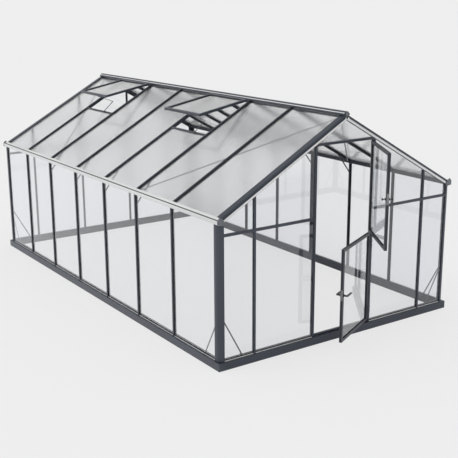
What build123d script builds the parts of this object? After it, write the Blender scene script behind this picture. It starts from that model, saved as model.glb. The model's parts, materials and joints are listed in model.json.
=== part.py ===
"""Glass greenhouse: seven bays long, five bays across each gable, with a split door in the front gable.

X runs across the gables, Y from the doorway to the back gable, and Z is up.
The origin is the middle of the front base rail's underside, below the doorway.
"""
import os
from math import cos, radians, tan

from build123d import *

# Overall sizes
baseWidth = 3090.0
baseLength = 5350.0
eaveHeight = 1492.0
roofPitch = 29.2
bayCount = 7
barShift = 42.0

# Gable front and doorway
jambSpacing = 766.0
gableBarSpacing = 2232.0
midRailDrop = 169.0
doorHeadDrop = 50.0

# Base rails
baseRailWidth = 60.0
baseRailHeight = 80.0
sillHeight = 98.0
frameSetback = 15.0

# Glass, its slots and the gaps at joints
glassThickness = 4.0
slotClearance = 0.3
slotDepth = 9.0
edgeClearance = 1.0
buttGap = 0.3

# H-section glazing bars
barWidth = 24.0
railWidth = 28.0
barNose = 12.0
barFlange = 4.0
barStemWidth = 9.0
barStemDepth = 21.0
noseChamfer = 3.0

# Rounded corner posts, L-shaped in section
postGableLeg = 60.0
postSideLeg = 82.0
postRound = 56.0

# Eaves
eaveOverhang = 30.0
gutterReach = 12.0
gutterSetback = 5.0
gutterHeight = 39.0
gutterDrop = 19.0
gutterWall = 3.0
shoulderThickness = 9.0
roofPaneLap = 12.0
capMargin = 4.0
capPeak = 21.0
capThickness = 6.0

# Verges, which cap both gables
vergeSetback = 5.0
vergeStart = 12.0
vergeDrop = 5.0
vergeThickness = 20.0
vergeRound = 14.0
vergeLeg = 5.0
vergeLegDrop = 36.0
sealDepth = 28.0

# Ridge
ridgeSetback = 15.0
ridgeHalfWidth = 28.0
ridgeWing = 10.0
ridgeWingThickness = 12.0
ridgeCrownHalfWidth = 15.0
ridgeCrownRise = 20.0
ridgeCapHeight = 50.0

# Roof vents: bays counted from the doorway
ventBays = [3, 6]
ventLength = 672.0
ventOpening = 18.5
ventLap = 9.5
ventStile = 30.0
ventThickness = 26.0
ventGroove = 6.0
ventNeck = 22.0
ventNeckThickness = 4.0
ventBeadRadius = 6.0
ventSillWidth = 30.0
openerOffset = 150.0
openerWidth = 10.0
openerThickness = 6.0
openerElbowBack = 137.0
openerElbowRise = 120.0
openerFootLength = 26.0
openerFootHeight = 12.0

# Braces, all flat strip
stripWidth = 16.0
stripThickness = 3.0
cornerBraceRun = 258.0
cornerBraceTop = 570.0
kneeBraceDrop = 174.0
kneeBraceReach = 195.0
windBraceInset = 32.0
windBraceOverrun = 3.0
windBraceBayCount = 2

# Door jambs, leaves and hinges
jambWidth = 24.0
leafGap = 8.0
leafThickness = 28.0
leafSetIn = 1.0
leafStile = 28.0
leafSplit = 1079.0
leafSplitGap = 14.0
lowerLeafAngle = 26.7
upperLeafAngle = 59.0
pinRadius = 4.0
barrelRadius = 7.0
pinClearance = 0.3
barrelGap = 0.5
barrelStandOff = 9.0
knuckleHeight = 24.0
fixedKnuckleHeight = 18.0
hingePlateThickness = 5.0
hingePlateWidth = 26.0
hingeFromEdge = 120.0
roseRadius = 14.0
roseThickness = 8.0
neckRadius = 9.0
neckLength = 45.0
leverLength = 120.0
leverHeight = 18.0
leverThickness = 11.0
leverRound = 8.0
lowerLockHeight = 600.0
upperLockHeight = 1590.0
catchNeckRadius = 5.0
catchStandOff = 26.0
knobRadius = 11.0
knobLength = 16.0
knobChamfer = 4.0

# Lines and planes that follow from the sizes
halfBase = baseWidth / 2
halfFrame = halfBase - frameSetback
frontFace = frameSetback - baseRailWidth / 2
backFace = baseLength - baseRailWidth / 2 - frameSetback
backPlane = Plane.XZ.offset(-(frontFace + backFace) / 2)
slotWidth = glassThickness + 2 * slotClearance
glassFace = barNose + slotClearance
webWidth = barWidth - 2 * slotDepth
barDepth = barNose + slotWidth + barFlange + barStemDepth
postLegDepth = barNose + slotWidth + barFlange
sideSlot = postSideLeg - slotDepth
vergeDepth = vergeDrop + vergeThickness + vergeLegDrop
firstBar = frontFace + sideSlot - webWidth / 2 + barShift
bayPitch = (backFace - frontFace - 2 * sideSlot + webWidth) / bayCount
barPlaces = [firstBar + bayPitch * i for i in range(1, bayCount)]
jambPlace = jambSpacing / 2
gableBarPlace = gableBarSpacing / 2
slope = radians(roofPitch)
eaveX = eaveOverhang - halfFrame
slopeLength = -eaveX / cos(slope)
apexHeight = eaveHeight - eaveX * tan(slope)
midRailHeight = eaveHeight - midRailDrop
doorHeadTop = apexHeight - jambPlace * tan(slope) - doorHeadDrop
gutterFloor = eaveHeight - gutterDrop - gutterHeight
gutterRim = gutterFloor + gutterHeight
ridgeSeat = slopeLength - ridgeHalfWidth / cos(slope)
wingEdge = ridgeSeat - ridgeWing
roofPlane = Plane(origin=(eaveX, 0, eaveHeight), x_dir=(1, 0, tan(slope)), z_dir=(-tan(slope), 0, 1))
sectionPlane = Plane(origin=(0, 0, 0), x_dir=(1, 0, 0), z_dir=(0, -1, 0))

nodes = {}


def rect(left, right, low, high):
    """Flat rectangle between four sides."""
    return Pos((left + right) / 2, (low + high) / 2) * Rectangle(right - left, high - low)


def block(left, right, near, far, low, high):
    """Box between six sides."""
    size = (right - left, far - near, high - low)
    return Pos((left + right) / 2, (near + far) / 2, (low + high) / 2) * Box(*size)


def member(section, start, end, sideways):
    """Straight run of a section from start to end, its own X lying along sideways."""
    run = Vector(*end) - Vector(*start)
    place = Plane(origin=start, x_dir=sideways, z_dir=run.normalized())
    return extrude(place * section, run.length)


def lengthwise(section, near, far):
    """Section drawn in X and Z, run along Y from near to far."""
    return Pos(0, near, 0) * extrude(sectionPlane * section, near - far)


def upSlope(along, above, y=0.0):
    """Point on the left slope, measured from the rafter tops at the eave."""
    return roofPlane.from_local_coords(Vector(along, y, above))


def inSection(point):
    """The X and Z of a point, for a section drawn across the house."""
    return (point.X, point.Z)


def mirrored(solids):
    """The same pieces on the right of the ridge line."""
    return [solid.mirror(Plane.YZ) for solid in solids]


def atBack(solids):
    """The same pieces at the back gable."""
    return [solid.mirror(backPlane) for solid in solids]


def underRoof(depth):
    """Gable outline up to a line square below the rafter tops, as a wide flat face."""
    drop = depth / cos(slope)
    eave = eaveHeight - drop - gutterReach * tan(slope)
    reach = eaveX - gutterReach
    return make_face(Polyline(
        (reach, 0), (reach, eave), (0, apexHeight - drop), (-reach, eave), (-reach, 0), close=True
    ))


def glazingBar(width):
    """H-section: a nose outside, a glass slot each side, a flange and a stem inside."""
    half = width / 2
    nose = rect(-half, half, -barNose, 0)
    nose = chamfer(nose.vertices().group_by(Axis.Y)[-1], noseChamfer)
    seat = -barNose - slotWidth
    web = rect(slotDepth - half, half - slotDepth, seat, -barNose)
    flange = rect(-half, half, seat - barFlange, seat)
    stem = rect(-barStemWidth / 2, barStemWidth / 2, -barDepth, seat - barFlange)
    return nose + web + flange + stem


def jambBar():
    """Door jamb or head: a solid bar with a glass slot on one side only."""
    body = rect(-jambWidth / 2, jambWidth / 2, -barDepth, 0)
    body = chamfer(body.vertices().group_by(Axis.Y)[-1], noseChamfer)
    return body - rect(jambWidth / 2 - slotDepth, jambWidth / 2, -barNose - slotWidth, -barNose)


def onLedge(solid):
    """The piece with its inner part cut to stand over the raised sill."""
    inset = barNose + slotWidth - buttGap
    reach = halfFrame - inset
    return solid - block(-reach, reach, frontFace + inset, backFace - inset, 0, sillHeight + buttGap)


def makeBase():
    """Four mitred rails with a grooved ledge for the glass and a raised sill behind it."""
    groove = frameSetback + barNose
    section = rect(0, baseRailWidth, 0, baseRailHeight)
    section += rect(groove + slotWidth, baseRailWidth, 0, sillHeight)
    section -= rect(groove, groove + slotWidth, baseRailHeight - slotDepth, baseRailHeight)
    frontEdge = -baseRailWidth / 2
    left = lengthwise(Pos(-halfBase, 0) * section, frontEdge, frontEdge + baseLength)
    front = member(section, (-halfBase, frontEdge, 0), (halfBase, frontEdge, 0), (0, 1, 0))
    sideOfLeft = Plane(origin=(-halfBase, frontEdge, 0), z_dir=(-1, 1, 0)).offset(buttGap / 2)
    sideOfFront = Plane(origin=(-halfBase, frontEdge, 0), z_dir=(1, -1, 0)).offset(buttGap / 2)
    left = split(left, bisect_by=sideOfLeft, keep=Keep.TOP)
    left = split(left.mirror(backPlane), bisect_by=sideOfLeft, keep=Keep.TOP)
    front = split(front, bisect_by=sideOfFront, keep=Keep.TOP)
    front = split(front.mirror(Plane.YZ), bisect_by=sideOfFront, keep=Keep.TOP)
    nodes["base_rail_front"] = [front]
    nodes["base_rail_back"] = atBack([front])
    nodes["base_rail_left"] = [left]
    nodes["base_rail_right"] = mirrored([left])


def makePosts():
    """Corner posts, rounded outside, with a leg and a glass slot towards each wall."""
    section = rect(0, postGableLeg, 0, postLegDepth) + rect(0, postLegDepth, 0, postSideLeg)
    section -= rect(postGableLeg - slotDepth, postGableLeg, barNose, barNose + slotWidth)
    section -= rect(barNose, barNose + slotWidth, sideSlot, postSideLeg)
    outer = section.vertices().sort_by_distance((0, 0, 0))[0]
    section = fillet(outer, postRound)
    place = Plane(origin=(-halfFrame, frontFace, baseRailHeight + buttGap))
    post = onLedge(extrude(place * section, gutterFloor - baseRailHeight - 2 * buttGap))
    front = [post] + mirrored([post])
    nodes["corner_posts"] = front + atBack(front)


def makeWallBars():
    """Six upright glazing bars in each long wall."""
    bars = []
    for y in barPlaces:
        foot = (-halfFrame, y, baseRailHeight + buttGap)
        top = (-halfFrame, y, gutterFloor - buttGap)
        bars.append(onLedge(member(glazingBar(barWidth), foot, top, (0, 1, 0))))
    nodes["wall_bars_left"] = bars
    nodes["wall_bars_right"] = mirrored(bars)


def underVerge(solid):
    """The part of a front gable's piece that lies under the verges."""
    return solid & extrude(sectionPlane * underRoof(vergeDepth + buttGap), barDepth, both=True)


def gableUpright(section, x):
    """Upright of the front gable, from the ledge to a slanting end under the verge."""
    foot = (x, frontFace, baseRailHeight + buttGap)
    return underVerge(onLedge(member(section, foot, (x, frontFace, apexHeight), (-1, 0, 0))))


def makeGableFrames():
    """Uprights, jambs, door head and mid rails of the two gables."""
    left = gableUpright(glazingBar(barWidth), -gableBarPlace)
    inner = gableUpright(glazingBar(barWidth), -jambPlace)
    jamb = gableUpright(jambBar(), -jambPlace)
    nodes["gable_bars_front"] = [left] + mirrored([left])
    nodes["gable_bars_back"] = atBack([left, inner] + mirrored([left, inner]))
    nodes["door_jamb_left"] = [jamb]
    nodes["door_jamb_right"] = [fixedHinges(jamb.mirror(Plane.YZ))]
    headReach = jambPlace - jambWidth / 2 - buttGap
    headLine = doorHeadTop - jambWidth / 2
    head = member(jambBar(), (-headReach, frontFace, headLine), (headReach, frontFace, headLine), (0, 0, 1))
    nodes["door_head"] = [underVerge(head)]
    edge = barWidth / 2 + buttGap
    cornerRun = (postGableLeg - halfFrame + buttGap, -gableBarPlace - edge)
    doorRun = (edge - gableBarPlace, -jambPlace - jambWidth / 2 - buttGap)
    wideRun = (edge - gableBarPlace, -jambPlace - edge)
    centreRun = (edge - jambPlace, jambPlace - edge)
    rails = [midRail(*cornerRun), midRail(*doorRun)]
    nodes["gable_rails_front"] = rails + mirrored(rails)
    rails = [midRail(*cornerRun), midRail(*wideRun)]
    nodes["gable_rails_back"] = atBack(rails + mirrored(rails) + [midRail(*centreRun)])


def midRail(start, end):
    """One length of mid rail in the front gable."""
    near = (start, frontFace, midRailHeight)
    far = (end, frontFace, midRailHeight)
    return member(glazingBar(railWidth), near, far, (0, 0, 1))


def makeEaves():
    """Open gutter with a sloping shoulder, the eave beam behind it and the gutter's end caps."""
    outer = -halfFrame - gutterReach
    wall = gutterSetback - halfFrame
    inner = wall + gutterWall
    section = rect(outer, outer + gutterWall, gutterFloor, gutterRim)
    section += rect(outer, inner, gutterFloor, gutterFloor + gutterWall)
    section = chamfer(section.vertices().sort_by_distance((outer, gutterFloor, 0))[0], gutterWall)
    shoulderUnder = eaveHeight + (inner - eaveX) * tan(slope) - shoulderThickness / cos(slope)
    section += make_face(Polyline(
        (wall, gutterFloor),
        (wall, eaveHeight + (wall - eaveX) * tan(slope)),
        inSection(upSlope(-buttGap, 0)),
        inSection(upSlope(-buttGap, -shoulderThickness)),
        (inner, shoulderUnder),
        (inner, gutterFloor),
        close=True,
    ))
    gutter = lengthwise(section, frontFace, backFace)
    beamOuter = inner + buttGap
    beamTop = barNose + slotWidth
    innerTop = upSlope(-buttGap, -barDepth)
    beam = make_face(Polyline(
        (beamOuter, gutterFloor),
        (beamOuter, eaveHeight + (beamOuter - eaveX) * tan(slope) - beamTop / cos(slope)),
        inSection(upSlope(-buttGap, -beamTop)),
        inSection(innerTop),
        (innerTop.X, gutterFloor),
        close=True,
    ))
    grooveEdge = barNose - halfFrame
    beam -= rect(grooveEdge, grooveEdge + slotWidth, gutterFloor, gutterFloor + slotDepth)
    eaveBeam = lengthwise(beam, frontFace, backFace)
    cap = make_face(Polyline(
        (outer - capMargin, gutterFloor - capMargin),
        (outer - capMargin, gutterRim + capMargin),
        inSection(upSlope(-2 * capMargin, capPeak)),
        inSection(upSlope(2 * capMargin, capMargin - capPeak)),
        (innerTop.X + 5 * capMargin, innerTop.Z - 2 * capMargin),
        (innerTop.X, gutterFloor - 3 * capMargin),
        close=True,
    ))
    endCap = lengthwise(cap, frontFace - capThickness - buttGap, frontFace - buttGap)
    nodes["gutter_left"] = [gutter]
    nodes["gutter_right"] = mirrored([gutter])
    nodes["eave_beam_left"] = [eaveBeam]
    nodes["eave_beam_right"] = mirrored([eaveBeam])
    return [endCap] + mirrored([endCap])


def makeRidge():
    """Ridge beam with wings over the rafter tops, and its end caps."""
    half = [
        (0, apexHeight + ridgeCrownRise),
        (-ridgeCrownHalfWidth, apexHeight + ridgeCrownRise),
        inSection(upSlope(wingEdge, ridgeWingThickness)),
        inSection(upSlope(wingEdge, buttGap)),
        inSection(upSlope(ridgeSeat, buttGap)),
        inSection(upSlope(ridgeSeat, -barDepth)),
        (0, apexHeight - barDepth / cos(slope)),
    ]
    leftHalf = make_face(Polyline(*half, close=True))
    section = leftHalf + leftHalf.mirror(Plane.YZ)
    near = frontFace + ridgeSetback
    nodes["ridge_beam"] = [lengthwise(section, near, backFace - ridgeSetback)]
    crown = apexHeight + ridgeCrownRise
    cap = rect(-ridgeCrownHalfWidth, ridgeCrownHalfWidth, crown - ridgeCapHeight, crown)
    cap = chamfer(cap.vertices(), noseChamfer)
    return [lengthwise(cap, near - capThickness - buttGap, near - buttGap)]


def makeRafters():
    """Roof glazing bars on both slopes."""
    bars = []
    for y in barPlaces:
        low = upSlope(0, 0, y)
        high = upSlope(ridgeSeat - buttGap, 0, y)
        bars.append(member(glazingBar(barWidth), low, high, (0, 1, 0)))
    nodes["rafters_left"] = bars
    nodes["rafters_right"] = mirrored(bars)


def makeVerges():
    """Verges with a leg at the gable glass and a slot for the roof glass, and their pale seals."""
    underPlate = -vergeDrop - vergeThickness
    section = rect(vergeSetback, postSideLeg, underPlate, -vergeDrop)
    section = fillet(section.vertices().group_by(Axis.Y)[-1].sort_by(Axis.X)[0], vergeRound)
    gableLeg = barNose + slotWidth
    section += rect(gableLeg, gableLeg + vergeLeg, -vergeDepth, underPlate)
    section += rect(sideSlot - vergeLeg, postSideLeg, -barDepth, underPlate)
    section -= rect(sideSlot, postSideLeg, -barNose - slotWidth, -barNose)
    seal = rect(vergeSetback, barNose, underPlate - buttGap - sealDepth, underPlate - buttGap)
    low = upSlope(vergeStart, 0, frontFace)
    high = upSlope(ridgeSeat - buttGap, 0, frontFace)
    beyond = block(
        -buttGap, ridgeHalfWidth, frontFace, frontFace + postSideLeg, doorHeadTop, apexHeight
    )
    verge = member(section, low, high, (0, 1, 0)) - beyond
    strip = member(seal, low, high, (0, 1, 0)) - beyond
    nodes["verges_front"] = [verge] + mirrored([verge])
    nodes["verges_back"] = atBack(nodes["verges_front"])
    front = [strip] + mirrored([strip])
    nodes["verge_seals"] = front + atBack(front)


def makeBraces():
    """Corner, knee and wind braces of flat strip."""
    corner = []
    behindLeg = postLegDepth + buttGap
    start = behindLeg + stripThickness + buttGap - halfFrame
    foot = sillHeight + buttGap
    width = stripWidth * (cornerBraceTop - foot) / cornerBraceRun
    slant = make_face(Polyline(
        (start, cornerBraceTop),
        (start, cornerBraceTop - width),
        (start + cornerBraceRun - stripWidth, foot),
        (start + cornerBraceRun, foot),
        close=True,
    ))
    gableBrace = lengthwise(slant, frontFace + behindLeg, frontFace + behindLeg + stripThickness)
    corner.append(gableBrace)
    corner.append(gableBrace.mirror(Plane(origin=(-halfFrame, frontFace, 0), z_dir=(1, -1, 0))))
    corner = corner + mirrored(corner)
    nodes["corner_braces"] = corner + atBack(corner)

    knees = []
    stemMiddle = barDepth - barStemDepth / 2
    kneeX = eaveX + kneeBraceReach
    for y in barPlaces[1:-1]:
        beside = y + barStemWidth / 2 + buttGap + stripThickness / 2
        low = Vector(stemMiddle - halfFrame, beside, eaveHeight - kneeBraceDrop)
        high = Vector(kneeX, beside, apexHeight + kneeX * tan(slope) - stemMiddle / cos(slope))
        knees.append(member(Rectangle(stripThickness, stripWidth), low, high, (0, 1, 0)))
    nodes["knee_braces"] = knees + mirrored(knees)

    depth = -barDepth - buttGap - stripThickness / 2
    start = upSlope(ridgeSeat, depth, frontFace + postSideLeg + windBraceInset)
    end = upSlope(stripWidth, depth, barPlaces[windBraceBayCount - 1] + windBraceOverrun)
    across = (end - start).cross(roofPlane.z_dir)
    wind = member(Rectangle(stripWidth, stripThickness), start, end, across)
    front = [wind] + mirrored([wind])
    nodes["wind_braces"] = front + atBack(front)


def baySlots():
    """Glass slots at the two sides of each bay."""
    near = [frontFace + sideSlot] + [y + webWidth / 2 for y in barPlaces]
    far = [y - webWidth / 2 for y in barPlaces] + [backFace - sideSlot]
    return list(zip(near, far))


def makeWallPanes():
    """One pane a bay in each long wall."""
    panes = []
    low = baseRailHeight - slotDepth + edgeClearance
    high = gutterFloor + slotDepth - edgeClearance
    outside = glassFace - halfFrame
    for near, far in baySlots():
        panes.append(block(
            outside, outside + glassThickness, near + edgeClearance, far - edgeClearance, low, high
        ))
    nodes["wall_panes_left"] = panes
    nodes["wall_panes_right"] = mirrored(panes)


def gablePane(left, right, low, high):
    """Pane of the front gable between four slots, cut to the roof line under the verge."""
    under = vergeDrop + vergeThickness + edgeClearance
    sheet = lengthwise(underRoof(under), frontFace + glassFace, frontFace + glassFace + glassThickness)
    gap = edgeClearance
    return sheet & block(left + gap, right - gap, frontFace, frontFace + barDepth, low + gap, high - gap)


def makeGablePanes():
    """Panes below and above the mid rail, and one over the door head."""
    low = baseRailHeight - slotDepth
    railLow = midRailHeight - railWidth / 2 + slotDepth
    railHigh = midRailHeight + railWidth / 2 - slotDepth
    postSlot = postGableLeg - slotDepth - halfFrame
    half = webWidth / 2
    jambSlot = jambPlace + jambWidth / 2 - slotDepth
    levels = [(low, railLow), (railHigh, apexHeight)]
    side = []
    back = []
    for bottom, top in levels:
        side.append(gablePane(postSlot, -gableBarPlace - half, bottom, top))
        side.append(gablePane(half - gableBarPlace, -jambSlot, bottom, top))
        back.append(gablePane(postSlot, -gableBarPlace - half, bottom, top))
        back.append(gablePane(half - gableBarPlace, -jambPlace - half, bottom, top))
    doorway = jambPlace - jambWidth / 2
    overDoor = gablePane(-doorway, doorway, doorHeadTop - slotDepth, apexHeight)
    middle = [gablePane(half - jambPlace, jambPlace - half, bottom, top) for bottom, top in levels]
    ridgeRoom = block(
        -ridgeHalfWidth, ridgeHalfWidth, frontFace, frontFace + barDepth,
        upSlope(ridgeSeat, -barDepth).Z - edgeClearance, apexHeight,
    )
    overDoor -= ridgeRoom
    middle[1] -= ridgeRoom
    nodes["gable_panes_front"] = side + mirrored(side) + [overDoor]
    nodes["gable_panes_back"] = atBack(back + mirrored(back) + middle)


def roofPane(near, far, start, end):
    """Roof pane on the left slope between two slots."""
    gap = edgeClearance
    sheet = Pos((start + end) / 2, (near + far) / 2, -glassFace - glassThickness / 2) * Box(
        end - start, far - near - 2 * gap, glassThickness
    )
    return roofPlane * sheet


def makeRoofPanes():
    """One pane a bay, cut short below each vent."""
    start = -roofPaneLap
    full = ridgeSeat - edgeClearance
    short = ventSillPlace() - ventSillWidth / 2 + slotDepth - edgeClearance
    left = []
    right = []
    for bay, (near, far) in enumerate(baySlots(), start=1):
        left.append(roofPane(near, far, start, short if bay in ventBays else full))
        right.append(roofPane(near, far, start, full))
    nodes["roof_panes_left"] = left
    nodes["roof_panes_right"] = mirrored(right)


def ventHinge():
    """Distance of the vents' hinge line up the slope, and its height above the rafter tops."""
    return wingEdge - ventBeadRadius - buttGap, ventBeadRadius + buttGap


def ventSillPlace():
    """Distance of the vent sill's middle up the slope."""
    return ventHinge()[0] - ventLength - ventSillWidth / 2 + ventStile / 2


def framed(width, height, thickness, stile, groove):
    """Frame with an inner groove, and its pane, flat about the origin."""
    ring = Box(width, height, thickness) - Box(width - 2 * stile, height - 2 * stile, thickness)
    inner = (width - 2 * stile, height - 2 * stile)
    ring -= Box(inner[0] + 2 * groove, inner[1] + 2 * groove, slotWidth)
    play = groove - edgeClearance
    pane = Box(inner[0] + 2 * play, inner[1] + 2 * play, glassThickness)
    return ring, pane


def makeVents():
    """Two vents hinged at the ridge and propped open, each over its own sill."""
    hingeAlong, hingeHeight = ventHinge()
    width = bayPitch - barWidth + 2 * ventLap
    frameLength = ventLength - ventNeck
    ring, pane = framed(frameLength, width, ventThickness, ventStile, ventGroove)
    place = Pos(-ventNeck - frameLength / 2, 0, ventThickness / 2 - ventBeadRadius)
    neckReach = ventNeck + ventBeadRadius
    neck = Pos(-neckReach / 2, 0, 0) * Box(neckReach, width, ventNeckThickness)
    bead = Rot(90, 0, 0) * Cylinder(ventBeadRadius, width)
    frame = place * ring + neck + bead
    pane = place * pane
    frames = []
    panes = []
    sills = []
    openers = []
    for bay in ventBays:
        middle = firstBar + bayPitch * (bay - 0.5)
        opened = roofPlane.location * Pos(hingeAlong, middle, hingeHeight) * Rot(0, ventOpening, 0)
        frames.append(opened * frame)
        panes.append(opened * pane)
        sillMiddle = ventSillPlace()
        sill = Pos(sillMiddle, middle, -barNose / 2 - slotWidth) * Box(
            ventSillWidth, bayPitch - barWidth - 2 * buttGap, barNose
        )
        sill -= Pos(sillMiddle - ventSillWidth / 2, middle, -barNose - slotWidth / 2) * Box(
            2 * slotDepth, bayPitch, slotWidth
        )
        sills.append(roofPlane * sill)
        openers += ventOpener(middle - openerOffset, opened)
    nodes["vent_frames"] = frames
    nodes["vent_panes"] = panes
    nodes["vent_sills"] = sills
    nodes["vent_openers"] = openers


def ventOpener(y, opened):
    """Two arms that meet at an elbow between the sill and the open vent."""
    beside = Vector(0, openerWidth + buttGap, 0)
    footPlate = Box(openerFootLength, openerWidth, openerFootHeight)
    seat = buttGap + openerFootHeight / 2
    foot = upSlope(ventSillPlace(), seat - slotWidth, y)
    elbow = Vector(foot.X + openerElbowBack, y, foot.Z + openerElbowRise)
    lower = member(Rectangle(openerWidth, openerThickness), foot, elbow, (0, 1, 0))
    lower += roofPlane * Pos(ventSillPlace(), y, seat - slotWidth) * footPlate
    underLid = opened * Pos(-ventLength + ventStile / 2, 0, -ventBeadRadius - seat)
    lid = Vector(underLid.position.X, y, underLid.position.Z) + beside
    upper = member(Rectangle(openerWidth, openerThickness), elbow + beside, lid, (0, 1, 0))
    upper += Pos(0, lid.Y - underLid.position.Y, 0) * underLid * footPlate
    return [lower, upper]


def hingeHeights(low, high):
    """Heights of a leaf's two hinges."""
    return [low + hingeFromEdge, high - hingeFromEdge]


leafWidth = jambSpacing - jambWidth - 2 * leafGap
axisX = jambPlace - jambWidth / 2 - leafGap / 2
axisY = frontFace - barrelStandOff
lowerLeafSpan = (sillHeight + leafGap, leafSplit - leafSplitGap / 2)
upperLeafSpan = (leafSplit + leafSplitGap / 2, doorHeadTop - jambWidth - leafGap)


def fixedHinges(jamb):
    """Right jamb with the fixed knuckles and pins of four hinges."""
    for low, high in (lowerLeafSpan, upperLeafSpan):
        for z in hingeHeights(low, high):
            for end in (-1, 1):
                middle = z + end * (knuckleHeight / 2 + barrelGap + fixedKnuckleHeight / 2)
                lowEdge = middle - fixedKnuckleHeight / 2
                jamb += Pos(axisX, axisY, middle) * Cylinder(barrelRadius, fixedKnuckleHeight)
                jamb += block(
                    axisX, axisX + hingePlateWidth, frontFace - hingePlateThickness, frontFace + noseChamfer,
                    lowEdge, lowEdge + fixedKnuckleHeight,
                )
            pinLength = knuckleHeight + 2 * (barrelGap + fixedKnuckleHeight)
            jamb += Pos(axisX, axisY, z) * Cylinder(pinRadius, pinLength)
    return jamb


def makeLeaf(name, span, opening, lockHeight, lock):
    """One glazed leaf with its moving knuckles and furniture, turned open about its hinge line."""
    low, high = span
    ring, pane = framed(leafWidth, high - low, leafThickness, leafStile, slotDepth)
    middle = (axisX - (leafGap + leafWidth) / 2, frontFace + leafSetIn + leafThickness / 2, (low + high) / 2)
    upright = Plane(origin=middle, x_dir=(1, 0, 0), z_dir=(0, -1, 0))
    leaf = upright * ring
    for z in hingeHeights(low, high):
        leaf += block(
            axisX - hingePlateWidth, axisX, frontFace + leafSetIn - hingePlateThickness,
            frontFace + leafSetIn + noseChamfer, z - knuckleHeight / 2, z + knuckleHeight / 2,
        )
        leaf += Pos(axisX, axisY, z) * Cylinder(barrelRadius, knuckleHeight)
        leaf -= Pos(axisX, axisY, z) * Cylinder(pinRadius + pinClearance, knuckleHeight)
    lockX = axisX - leafGap / 2 - leafWidth + leafStile / 2
    pieces = {"frame": [leaf], "pane": [upright * pane], lock.__name__: lock(lockX, lockHeight)}
    hingeLine = Axis((axisX, axisY, 0), (0, 0, 1))
    for part, solids in pieces.items():
        nodes[f"{name}_{part}"] = [solid.rotate(hingeLine, opening) for solid in solids]


def leafFaces():
    """Outer and inner face of a closed leaf, each with the way it looks."""
    outer = frontFace + leafSetIn
    return [(outer - buttGap, -1), (outer + leafThickness + buttGap, 1)]


def spindle(x, face, way, z, radius, length):
    """Round boss standing out from a face of a leaf."""
    return Pos(x, face + way * length / 2, z) * Rot(90, 0, 0) * Cylinder(radius, length)


def lever(x, z):
    """Lever handle and rose on each side of the lower leaf."""
    sides = []
    for face, way in leafFaces():
        middle = face + way * (neckLength - leverThickness / 2)
        grip = Box(leverLength, leverThickness, leverHeight)
        grip = fillet(grip.edges().filter_by(Axis.Y), leverRound)
        grip = Pos(x + leverLength / 2 - leverRound, middle, z) * grip
        rose = spindle(x, face, way, z, roseRadius, roseThickness)
        sides.append(rose + spindle(x, face, way, z, neckRadius, neckLength) + grip)
    return sides


def catch(x, z):
    """Turn knob and rose on each side of the upper leaf."""
    sides = []
    for face, way in leafFaces():
        rose = spindle(x, face, way, z, roseRadius, roseThickness)
        stalk = spindle(x, face, way, z, catchNeckRadius, catchStandOff)
        knob = spindle(x, face + way * catchStandOff, way, z, knobRadius, knobLength)
        knob = chamfer(knob.edges().filter_by(GeomType.CIRCLE), knobChamfer)
        sides.append(rose + stalk + knob)
    return sides


makeBase()
makePosts()
makeWallBars()
makeGableFrames()
endCaps = makeEaves() + makeRidge()
nodes["end_caps"] = endCaps + atBack(endCaps)
makeRafters()
makeVerges()
makeBraces()
makeWallPanes()
makeGablePanes()
makeRoofPanes()
makeVents()
makeLeaf("lower_leaf", lowerLeafSpan, lowerLeafAngle, lowerLockHeight, lever)
makeLeaf("upper_leaf", upperLeafSpan, upperLeafAngle, upperLockHeight, catch)

os.makedirs("parts", exist_ok=True)
for name, solids in nodes.items():
    pieces = [piece for solid in solids for piece in solid.solids()]
    shape = pieces[0] if len(pieces) == 1 else Compound(children=pieces)
    export_step(shape, f"parts/{name}.step")
print(len(nodes), "nodes,", sum(len(solids) for solids in nodes.values()), "solids")
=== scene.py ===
import json
from math import cos, pi, radians, sin

import bmesh
import bpy
from mathutils import Matrix, Vector


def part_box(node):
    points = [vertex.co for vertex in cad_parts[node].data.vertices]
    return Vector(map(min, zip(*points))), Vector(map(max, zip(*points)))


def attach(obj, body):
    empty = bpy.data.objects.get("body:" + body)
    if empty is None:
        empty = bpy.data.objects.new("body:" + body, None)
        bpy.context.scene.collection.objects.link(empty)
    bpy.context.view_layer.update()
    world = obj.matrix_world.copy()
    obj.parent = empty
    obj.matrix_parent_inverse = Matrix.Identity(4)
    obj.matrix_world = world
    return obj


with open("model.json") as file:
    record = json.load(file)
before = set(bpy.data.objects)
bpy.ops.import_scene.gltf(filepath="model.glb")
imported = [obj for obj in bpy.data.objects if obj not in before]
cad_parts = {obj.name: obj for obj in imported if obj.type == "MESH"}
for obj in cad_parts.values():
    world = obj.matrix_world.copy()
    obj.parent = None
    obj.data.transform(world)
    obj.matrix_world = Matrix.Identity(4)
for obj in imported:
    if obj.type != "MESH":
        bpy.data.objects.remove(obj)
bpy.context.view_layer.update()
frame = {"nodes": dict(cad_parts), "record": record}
nodes = frame["nodes"]
print("frame loaded:", len(nodes), "nodes")


class Wire:  # one output socket, so that shader maths reads as plain sums
    def __init__(self, finish, socket):
        self.finish = finish
        self.socket = socket

    def maths(self, operation, first, second=0.0):
        return self.finish.node("ShaderNodeMath", {"operation": operation}, {0: first, 1: second})

    def __add__(self, other):
        return self.maths("ADD", self, other)

    def __radd__(self, other):
        return self.maths("ADD", other, self)

    def __sub__(self, other):
        return self.maths("SUBTRACT", self, other)

    def __rsub__(self, other):
        return self.maths("SUBTRACT", other, self)

    def __mul__(self, other):
        return self.maths("MULTIPLY", self, other)

    def __rmul__(self, other):
        return self.maths("MULTIPLY", other, self)


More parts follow.
